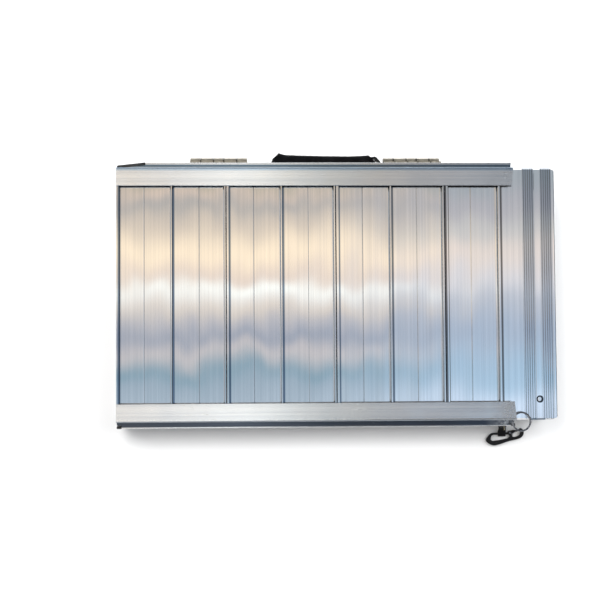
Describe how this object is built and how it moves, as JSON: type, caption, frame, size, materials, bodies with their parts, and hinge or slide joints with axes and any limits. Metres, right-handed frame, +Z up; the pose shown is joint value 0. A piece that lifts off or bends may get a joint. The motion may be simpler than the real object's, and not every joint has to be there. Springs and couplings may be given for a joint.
{
  "type": "folding dog ramp",
  "caption": "Aluminium pet ramp that folds along its length like a case, with ribbed deck extrusions, curbed rails, grooved lip, butt hinges, carry handle and snap hook closure.",
  "frame": {"origin": "centre of the folded ramp's footprint, on the floor it lies on", "axes": "+X along the ramp towards the grooved lip, +Y across it towards the fold hinges and carry handle, +Z up; the lower half has its walking surface up and the upper half lies face down on it"},
  "size_m": [0.6096, 0.4123, 0.089],
  "materials": {
    "rail_aluminium": "mill-finish extrusion, finely brushed along its length, with handling scuffs",
    "deck_aluminium": "bright mill-finish extrusion with fine die lines along the plank",
    "plated_steel": "dull yellow-grey zinc plate",
    "black_webbing": "woven polypropylene webbing",
    "black_rubber": "matt moulded rubber",
    "black_steel": "black coated",
    "dark_steel": "nickel-plated wire, dark",
    "spring_steel": "bright spring steel"
  },
  "bodies": {
    "lower_half": {"lower_hinge_rail": "rail_aluminium", "lower_outer_rail": "rail_aluminium", "lower_plank_1": "deck_aluminium", "lower_plank_2": "deck_aluminium", "lower_plank_3": "deck_aluminium", "lower_lip_plank": "deck_aluminium", "lower_hinge_end_cap": "black_rubber", "lower_outer_left_cap": "black_rubber", "lower_outer_right_cap": "black_rubber", "hinge_left_lower_leaf": "plated_steel", "hinge_right_lower_leaf": "plated_steel", "hinge_left_lower_rivet_1": "plated_steel", "hinge_left_lower_rivet_2": "plated_steel", "hinge_left_lower_rivet_3": "plated_steel", "hinge_right_lower_rivet_1": "plated_steel", "hinge_right_lower_rivet_2": "plated_steel", "hinge_right_lower_rivet_3": "plated_steel", "hinge_left_pin": "plated_steel", "hinge_right_pin": "plated_steel", "handle_webbing": "black_webbing", "handle_sleeve": "black_webbing", "handle_left_washer": "black_steel", "handle_right_washer": "black_steel", "handle_left_rivet": "black_steel", "handle_right_rivet": "black_steel", "closure_strap_rivet": "black_steel", "closure_strap": "black_webbing"},
    "upper_half": {"upper_hinge_rail": "rail_aluminium", "upper_outer_rail": "rail_aluminium", "upper_plank_1": "deck_aluminium", "upper_plank_2": "deck_aluminium", "upper_plank_3": "deck_aluminium", "upper_lip_plank": "deck_aluminium", "upper_hinge_end_cap": "black_rubber", "upper_outer_left_cap": "black_rubber", "upper_outer_right_cap": "black_rubber", "hinge_left_upper_leaf": "plated_steel", "hinge_right_upper_leaf": "plated_steel", "hinge_left_upper_rivet_1": "plated_steel", "hinge_left_upper_rivet_2": "plated_steel", "hinge_left_upper_rivet_3": "plated_steel", "hinge_right_upper_rivet_1": "plated_steel", "hinge_right_upper_rivet_2": "plated_steel", "hinge_right_upper_rivet_3": "plated_steel"},
    "snap_hook": {"snap_hook_body": "black_steel", "snap_hook_gate_pin": "dark_steel", "snap_hook_spring": "spring_steel"},
    "hook_gate": {"snap_hook_gate": "black_steel"},
    "ring": {"split_ring": "dark_steel"}
  },
  "joints": [
    {"name": "fold_hinge", "type": "hinge", "parent": "lower_half", "child": "upper_half", "pos_m": [0, 0.1969, 0.0445], "axis": [-1, 0, 0], "range_deg": [0, 180], "deforming": ["handle_webbing", "handle_sleeve"]},
    {"name": "tether_lift", "type": "hinge", "parent": "lower_half", "child": "snap_hook", "pos_m": [0.2345, -0.1765, 0.022], "axis": [-1, 0, 0], "range_deg": [0, 115], "deforming": ["closure_strap"]},
    {"name": "gate_pivot", "type": "hinge", "parent": "snap_hook", "child": "hook_gate", "pos_m": [0.25176, -0.18848, 0.0043], "axis": [0, 0, -1], "range_deg": [0, 20], "stiffness_Nm_per_rad": 0.04, "springref_deg": -14.32, "deforming": ["snap_hook_spring"]},
    {"name": "ring_swing", "type": "hinge", "parent": "upper_half", "child": "ring", "pos_m": [0.2405, -0.1644, 0.0795], "axis": [0, -1, 0], "range_deg": [0, 32]}
  ]
}
